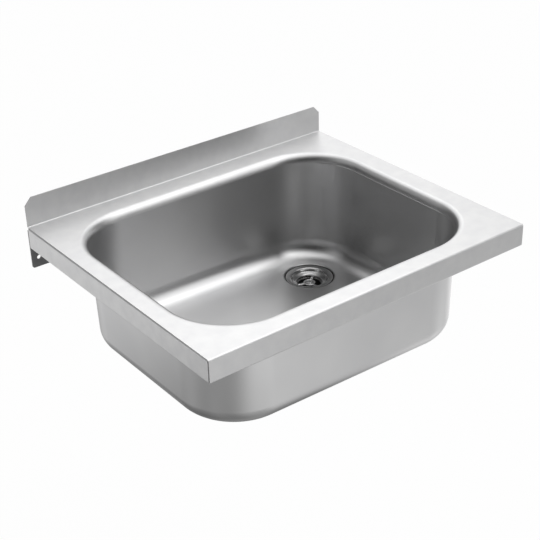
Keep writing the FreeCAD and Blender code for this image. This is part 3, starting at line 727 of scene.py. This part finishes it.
def make_seals():
    """Ring squeezed out round the rim, and a thick ring under the bowl."""
    bm = bmesh.new()
    bead_top = RIM_TOP + SEAL_RISE
    hugging = RIM_RADIUS + RUNNING_GAP
    turned(bm, [
        (DRAIN_HOLE_RADIUS, TOP_SEAL_LOW.z, 0.0),
        (RIM_RADIUS + RECESS_CLEARANCE, TOP_SEAL_LOW.z, 0.0),
        (RIM_RADIUS + SEAL_BULGE, bead_top, RIM_BEVEL),
        (hugging, bead_top, SEAL_RISE),
        (hugging, TOP_SEAL_HIGH.z, 0.0),
        (DRAIN_HOLE_RADIUS, TOP_SEAL_HIGH.z, 0.0),
    ])
    add_piece(bm, "rim_seal", "sink", "black_rubber", RUBBER, "waste_top_seal")
    bm = bmesh.new()
    outer = (UNDER_SEAL_HIGH.x - UNDER_SEAL_LOW.x) / 2
    turned(bm, [
        (DRAIN_HOLE_RADIUS, UNDER_SEAL_LOW.z, MOULD_ROLL),
        (outer, UNDER_SEAL_LOW.z, BODY_ROLL),
        (outer, UNDER_SEAL_HIGH.z, BODY_ROLL),
        (DRAIN_HOLE_RADIUS, UNDER_SEAL_HIGH.z, MOULD_ROLL),
    ])
    add_piece(bm, "under_seal", "sink", "black_rubber", RUBBER, "waste_under_seal")


def make_waste_funnel():
    """Moulded funnel with a flange, a bridge across its throat and a boss for the sleeve."""
    bm = bmesh.new()
    wall = DRAIN_HOLE_RADIUS + BODY_WALL
    socket = TAIL_SPIGOT + RUNNING_GAP / 2
    neck = socket + BODY_WALL
    cone_foot = BODY_LOW.z + TAIL_SOCKET_DEPTH
    cone_top = cone_foot + BODY_CONE_HEIGHT
    turned(bm, [
        ((BODY_HIGH.x - BODY_LOW.x) / 2, BODY_HIGH.z, MOULD_ROLL),
        ((BODY_HIGH.x - BODY_LOW.x) / 2, BODY_HIGH.z - BODY_FLANGE, BODY_ROLL),
        (wall, BODY_HIGH.z - BODY_FLANGE, BODY_ROLL),
        (wall, cone_top, BODY_ROLL),
        (neck, cone_foot, BODY_ROLL),
        (neck, BODY_LOW.z, MOULD_ROLL),
        (socket, BODY_LOW.z, MOULD_ROLL),
        (socket, cone_foot, 0.0),
        (TAIL_BORE, cone_foot, MOULD_ROLL),
        (DRAIN_HOLE_RADIUS, cone_top, BODY_ROLL),
        (DRAIN_HOLE_RADIUS, BODY_HIGH.z, MOULD_ROLL),
    ])
    bridge_top = INSERT_HIGH.z
    turned(bm, [
        (INSERT_RADIUS, bridge_top - BRIDGE_HEIGHT, 0.0),
        (BOSS_RADIUS, bridge_top - BRIDGE_HEIGHT, MOULD_ROLL),
        (BOSS_RADIUS, bridge_top, MOULD_ROLL),
        (INSERT_RADIUS, bridge_top, 0.0),
    ])
    start, reach = BOSS_RADIUS - MOULD_ROLL, DRAIN_HOLE_RADIUS - BODY_WALL
    size = Matrix.Diagonal((reach - start, BRIDGE_WIDTH, BRIDGE_HEIGHT, 1.0))
    place = Matrix.Translation(((reach + start) / 2, 0.0, bridge_top - BRIDGE_HEIGHT / 2 - WASTE_AXIS.z))
    for angle in (BRIDGE_ANGLE, BRIDGE_ANGLE + math.pi):
        bar = bmesh.ops.create_cube(bm, size=1.0, matrix=about_waste(angle) @ place @ size)["verts"]
        round_edges(bm, edges_of(bar), MOULD_ROLL, BRIDGE_ROLL_STEPS)
    # The funnel's near black colour is painted shade for the throat under the strainer
    add_piece(bm, "waste_funnel", "sink", "black_plastic", PLASTIC_SHADED_DARK, "waste_body")


def make_sleeve():
    """Turned brass sleeve with a collar under the bridge."""
    bm = bmesh.new()
    collar = (INSERT_HIGH.x - INSERT_LOW.x) / 2
    step = INSERT_LOW.z + INSERT_COLLAR_HEIGHT
    bore = SCREW_RADIUS + RUNNING_GAP
    turned(bm, [
        (bore, INSERT_LOW.z, RUNNING_GAP),
        (collar, INSERT_LOW.z, MOULD_ROLL),
        (collar, step, MOULD_ROLL),
        (INSERT_RADIUS, step, 0.0),
        (INSERT_RADIUS, INSERT_HIGH.z, RUNNING_GAP),
        (bore, INSERT_HIGH.z, RUNNING_GAP),
    ])
    add_piece(bm, "bridge_sleeve", "sink", "brass", BRASS, "waste_insert")


def make_tail():
    """Outlet tube with a spigot in the funnel, a plain collar and a coarse thread."""
    bm = bmesh.new()
    crest = (TAIL_HIGH.x - TAIL_LOW.x) / 2
    root = crest - TAIL_THREAD
    shoulder = BODY_LOW.z
    thread_top = shoulder - TAIL_BAND
    turned(bm, [
        (TAIL_BORE, TAIL_LOW.z, MOULD_ROLL),
        (root, TAIL_LOW.z, MOULD_ROLL),
        (root, thread_top, 0.0),
        (crest, thread_top, MOULD_ROLL),
        (crest, shoulder, MOULD_ROLL),
        (TAIL_SPIGOT, shoulder, 0.0),
        (TAIL_SPIGOT, TAIL_HIGH.z, MOULD_ROLL),
        (TAIL_BORE, TAIL_HIGH.z, 0.0),
    ])
    half_pitch = TAIL_PITCH / 2
    wind_thread(bm, WASTE_AXIS, root, crest, TAIL_PITCH, TAIL_LOW.z + half_pitch, thread_top + half_pitch)
    add_piece(bm, "threaded_tail", "sink", "black_plastic", PLASTIC_SHADED_DARK, "outlet_tail")


# Pad under the bowl, and what holds the brackets

def make_pad():
    """Bitumen plate with rounded corners that follows the fall of the floor."""
    bm = bmesh.new()
    low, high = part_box("bowl_sound_pad")
    half = (high - low) / 2
    edges = rounded_loop(bm, half, PAD_CORNER_RADIUS, (low + high) / 2, FLOOR_UNDERSIDE)
    bmesh.ops.edgeloop_fill(bm, edges=edges)
    face_towards(bm, UP)
    thicken(bm, PAD_THICKNESS)
    foot = FLOOR_UNDERSIDE - PAD_THICKNESS + TOUCH
    rim = [edge for edge in bm.edges if max(vert.co.z for vert in edge.verts) < foot]
    round_edges(bm, rim, PAD_ROLL, PAD_ROLL_STEPS)
    for vert in bm.verts:
        vert.co.z -= (vert.co.x - MOUTH_MIDDLE.x) * FLOOR_FALL
    add_piece(bm, "sound_pad", "sink", "bitumen_pad", BITUMEN, "bowl_sound_pad")


def make_fastenings():
    """Welded studs with a thread, washers and chamfered hexagon nuts."""
    bm = bmesh.new()
    root = STUD_RADIUS - STUD_THREAD
    turned(bm, [
        (0.0, STUD_LOW.z, 0.0),
        (root, STUD_LOW.z, STUD_POINT),
        (root, STUD_HIGH.z, 0.0),
        (0.0, STUD_HIGH.z, 0.0),
    ], STUD_PLACE)
    wind_thread(bm, STUD_PLACE, root, STUD_RADIUS, STUD_PITCH, STUD_LOW.z + STUD_POINT, STUD_HIGH.z)
    repeat_at_studs(bm)
    add_piece(bm, "threaded_studs", "sink", "zinc_fasteners", ZINC, "bracket_studs")
    bm = bmesh.new()
    outer = WASHER_HIGH.x - STUD_PLACE.x
    turned(bm, [
        (WASHER_HOLE, WASHER_LOW.z, RUNNING_GAP),
        (outer, WASHER_LOW.z, RUNNING_GAP),
        (outer, WASHER_HIGH.z, RUNNING_GAP),
        (WASHER_HOLE, WASHER_HIGH.z, RUNNING_GAP),
    ], STUD_PLACE)
    repeat_at_studs(bm)
    add_piece(bm, "plain_washers", "sink", "zinc_fasteners", ZINC, "bracket_washers")
    bm = bmesh.new()
    top = Matrix.Translation((STUD_PLACE.x, STUD_PLACE.y, NUT_HIGH.z))
    corner_radius = NUT_HIGH.x - STUD_PLACE.x
    hexagon = bmesh.ops.create_circle(bm, radius=corner_radius, segments=NUT_SIDES, matrix=top)["verts"]
    bore = bmesh.ops.create_circle(bm, radius=STUD_RADIUS, segments=THREAD_STEPS, matrix=top)["verts"]
    fill_between(bm, edges_of(hexagon + bore))
    face_towards(bm, UP)
    thicken(bm, NUT_HIGH.z - NUT_LOW.z)
    round_sharp_edges(bm, NUT_CHAMFER, NUT_CHAMFER_STEPS)
    repeat_at_studs(bm)
    add_piece(bm, "hexagon_nuts", "sink", "zinc_fasteners", ZINC, "bracket_nuts")


make_deck()
for side_name, side_sign in (("left", -1), ("right", 1)):
    make_end_plate(side_name, side_sign)
make_bowl()
make_waste_rim()
make_strainer()
make_waste_screw()
make_seals()
make_waste_funnel()
make_sleeve()
make_tail()
make_pad()
make_fastenings()

# The brackets take the dark steel, painted shade under the deck
for side_name in ("left", "right"):
    bracket = frame["nodes"]["wall_bracket_" + side_name]
    bracket.data.materials.clear()
    bracket.data.materials.append(BRACKET_STEEL_SHADED)


# Stage: a white floor well below the hung sink, soft light all round that only the steel shows, and a lamp

FLOOR_LEVEL = -0.85
FLOOR_HALF = 30.0
FLOOR_TONE = (0.9, 0.9, 0.9, 1.0)
FLOOR_GLOW_SHARE = 0.96         # the rest takes the sink's shadow
WHITE = (1.0, 1.0, 1.0, 1.0)
SINK_MIDDLE = Vector((0.0, -0.25, DECK_TOP))
SOFTBOX_OFFSET = Vector((0.6, 0.0, 1.7))
SOFTBOX_SIZE = 1.6
SOFTBOX_POWER = 5.2


def compass(bearing, height):
    """Direction from a bearing, clockwise from the wall, and a height, both in degrees."""
    turn, rise = math.radians(bearing), math.radians(height)
    return Vector((math.sin(turn) * math.cos(rise), math.cos(turn) * math.cos(rise), math.sin(rise)))


# Sides of the surround: a direction, the cosines between which the light changes, and its levels there
SKY_SLOPE = (Vector((-1.0, 0.0, -0.95)).normalized(), -0.44, -0.24, (1.21, 0.067))
VIEWER_SHADE = (Vector((-0.45, -0.89, 0.0)), 0.3, 0.7, (1.0, 0.1))
RIGHT_SHADE = (Vector((0.84, -0.27, 0.47)).normalized(), 0.84, 0.97, (1.0, 0.1))
OVERHEAD_SHADE = (UP, 0.85, 0.97, (1.0, 0.6))
REAR_GLOW = (Vector((-0.66, 0.58, 0.48)).normalized(), 0.85, 0.96, (0.0, 0.3))
KEY_GLOW = (Vector((0.5, -0.5, 0.71)).normalized(), 0.84, 0.97, (0.0, 0.6))

# Wide soft patches of light: bearing, height and level in the sky, and rings of levels on the floor,
# by degrees below the sink, each evenly spaced clockwise from the wall
PATCH_EDGE, PATCH_CORE = math.cos(math.radians(34.0)), math.cos(math.radians(4.0))
PATCHES_ROUND = Vector((0.0, -0.25, -0.05))
SKY_PATCHES = ((285, 32, 0.19), (51, 58, 0.49), (154, 58, 0.12), (309, 58, 0.28))
# The dim rings steeply below the sink are painted shadow of the sink, seen only in the steel
FLOOR_RINGS = {
    10: (0.38, 0.31, 0.70, 0.02, 0.18, 0.94, 0.38, 0.25, 0.44, 0.84),
    36: (0.26, 0.38, 0.72, 0.59, 0.33, 0.14, 0.20, 0.14),
    64: (0.13, 0.0, 0.13, 0.12, 0.02),
    90: (0.18,),
}
FLOOR_PATCHES = [
    (360.0 * index / len(levels), -depth, level)
    for depth, levels in FLOOR_RINGS.items() for index, level in enumerate(levels)]


def add_side(nodes, links, direction, side, near, far, levels):
    """Value that changes smoothly with how far a direction turns towards one side."""
    turn = nodes.new("ShaderNodeVectorMath")
    turn.operation = "DOT_PRODUCT"
    turn.inputs[1].default_value = side
    level = nodes.new("ShaderNodeMapRange")
    level.interpolation_type = "SMOOTHSTEP"
    level.inputs["From Min"].default_value = near
    level.inputs["From Max"].default_value = far
    level.inputs["To Min"].default_value, level.inputs["To Max"].default_value = levels
    links.new(direction, turn.inputs[0])
    links.new(turn.outputs["Value"], level.inputs["Value"])
    return level.outputs["Result"]


def add_patches(nodes, links, direction, patches):
    """One value for each wide soft patch of light."""
    return [
        add_side(nodes, links, direction, compass(bearing, height), PATCH_EDGE, PATCH_CORE, (0.0, level))
        for bearing, height, level in patches]


def combined(nodes, links, operation, values):
    """One value from several, added or multiplied in turn."""
    total = values[0]
    for value in values[1:]:
        step = nodes.new("ShaderNodeMath")
        step.operation = operation
        links.new(total, step.inputs[0])
        links.new(value, step.inputs[1])
        total = step.outputs["Value"]
    return total


def white_to_camera(nodes, links, path, value):
    """The value for every ray but the camera's, which sees plain white."""
    shown = nodes.new("ShaderNodeMix")
    shown.inputs["B"].default_value = 1.0
    links.new(path.outputs["Is Camera Ray"], shown.inputs["Factor"])
    links.new(value, shown.inputs["A"])
    return shown.outputs["Result"]


def make_floor_material():
    """White to the camera; in the steel it shows soft patches of light round the sink, and painted shadow
    below it.
    """
    material = bpy.data.materials.new("pale_floor")
    material.use_nodes = True
    nodes, links = material.node_tree.nodes, material.node_tree.links
    nodes.clear()
    leave = nodes.new("ShaderNodeOutputMaterial")
    lit = nodes.new("ShaderNodeBsdfDiffuse")
    lit.inputs["Color"].default_value = FLOOR_TONE
    glow = nodes.new("ShaderNodeEmission")
    glow.inputs["Color"].default_value = WHITE
    place = nodes.new("ShaderNodeTexCoord")
    away = nodes.new("ShaderNodeVectorMath")
    away.operation = "SUBTRACT"
    away.inputs[1].default_value = PATCHES_ROUND
    direction = nodes.new("ShaderNodeVectorMath")
    direction.operation = "NORMALIZE"
    path = nodes.new("ShaderNodeLightPath")
    seen = nodes.new("ShaderNodeMath")
    seen.operation = "MAXIMUM"
    share = nodes.new("ShaderNodeMath")
    share.operation = "MULTIPLY"
    share.inputs[1].default_value = FLOOR_GLOW_SHARE
    mix = nodes.new("ShaderNodeMixShader")
    links.new(place.outputs["Object"], away.inputs[0])
    links.new(away.outputs["Vector"], direction.inputs[0])
    patches = add_patches(nodes, links, direction.outputs["Vector"], FLOOR_PATCHES)
    total = combined(nodes, links, "ADD", patches)
    links.new(white_to_camera(nodes, links, path, total), glow.inputs["Strength"])
    links.new(path.outputs["Is Camera Ray"], seen.inputs[0])
    links.new(path.outputs["Is Glossy Ray"], seen.inputs[1])
    links.new(seen.outputs["Value"], share.inputs[0])
    links.new(share.outputs["Value"], mix.inputs["Fac"])
    links.new(lit.outputs["BSDF"], mix.inputs[1])
    links.new(glow.outputs["Emission"], mix.inputs[2])
    links.new(mix.outputs["Shader"], leave.inputs["Surface"])
    return material


def make_floor():
    """Large plain square."""
    bm = bmesh.new()
    place = Matrix.Translation((0.0, 0.0, FLOOR_LEVEL))
    bmesh.ops.create_grid(bm, x_segments=2, y_segments=2, size=FLOOR_HALF, matrix=place)
    mesh = bpy.data.meshes.new("floor")
    bm.to_mesh(mesh)
    bm.free()
    mesh.materials.append(make_floor_material())
    floor = bpy.data.objects.new("floor", mesh)
    bpy.context.scene.collection.objects.link(floor)


def make_world():
    """Bright above and to the right, dim to the left and behind the viewer, with soft glows."""
    world = bpy.data.worlds.new("studio")
    bpy.context.scene.world = world
    world.use_nodes = True
    nodes, links = world.node_tree.nodes, world.node_tree.links
    nodes.clear()
    leave = nodes.new("ShaderNodeOutputWorld")
    surround = nodes.new("ShaderNodeBackground")
    surround.inputs["Color"].default_value = WHITE
    direction = nodes.new("ShaderNodeTexCoord").outputs["Generated"]
    path = nodes.new("ShaderNodeLightPath")
    shaded = [
        add_side(nodes, links, direction, *side)
        for side in (SKY_SLOPE, VIEWER_SHADE, RIGHT_SHADE, OVERHEAD_SHADE)]
    glows = [add_side(nodes, links, direction, *side) for side in (REAR_GLOW, KEY_GLOW)]
    glows += add_patches(nodes, links, direction, SKY_PATCHES)
    sky = combined(nodes, links, "MULTIPLY", shaded)
    total = combined(nodes, links, "ADD", [sky] + glows)
    links.new(white_to_camera(nodes, links, path, total), surround.inputs["Strength"])
    links.new(surround.outputs["Background"], leave.inputs["Surface"])


def make_softbox():
    """Square lamp above the sink's right side, turned to its middle."""
    data = bpy.data.lights.new("top_softbox", "AREA")
    data.shape = "SQUARE"
    data.size = SOFTBOX_SIZE
    data.energy = SOFTBOX_POWER
    lamp = bpy.data.objects.new("top_softbox", data)
    lamp.location = SINK_MIDDLE + SOFTBOX_OFFSET
    lamp.rotation_mode = "QUATERNION"
    lamp.rotation_quaternion = (-SOFTBOX_OFFSET).to_track_quat("-Z", "Y")
    lamp.visible_camera = False
    bpy.context.scene.collection.objects.link(lamp)


make_floor()
make_world()
make_softbox()


# Camera at the photograph's viewpoint

AZIMUTH = math.radians(-36.71)
ELEVATION = math.radians(29.13)
ROLL = math.radians(-1.79)
DISTANCE = 2.0215
AIM = Vector((0.0287, -0.2, DECK_TOP - 0.1112))
LENS = 81.39
SENSOR_WIDTH = 36.0


def make_camera():
    """Looks at the sink from the front left, a little turned about its own axis."""
    data = bpy.data.cameras.new("camera")
    data.sensor_width = SENSOR_WIDTH
    data.lens = LENS
    right = Vector((math.cos(AZIMUTH), math.sin(AZIMUTH), 0.0))
    level_back = Vector((math.sin(AZIMUTH), -math.cos(AZIMUTH), 0.0))
    back = level_back * math.cos(ELEVATION) + UP * math.sin(ELEVATION)
    up = back.cross(right)
    turned_right = math.cos(ROLL) * right + math.sin(ROLL) * up
    turned_up = math.cos(ROLL) * up - math.sin(ROLL) * right
    camera = bpy.data.objects.new("camera", data)
    turn = Matrix((turned_right, turned_up, back)).transposed()
    camera.matrix_world = Matrix.Translation(AIM + back * DISTANCE) @ turn.to_4x4()
    bpy.context.scene.collection.objects.link(camera)
    bpy.context.scene.camera = camera


make_camera()
bpy.context.scene.view_settings.view_transform = "Standard"
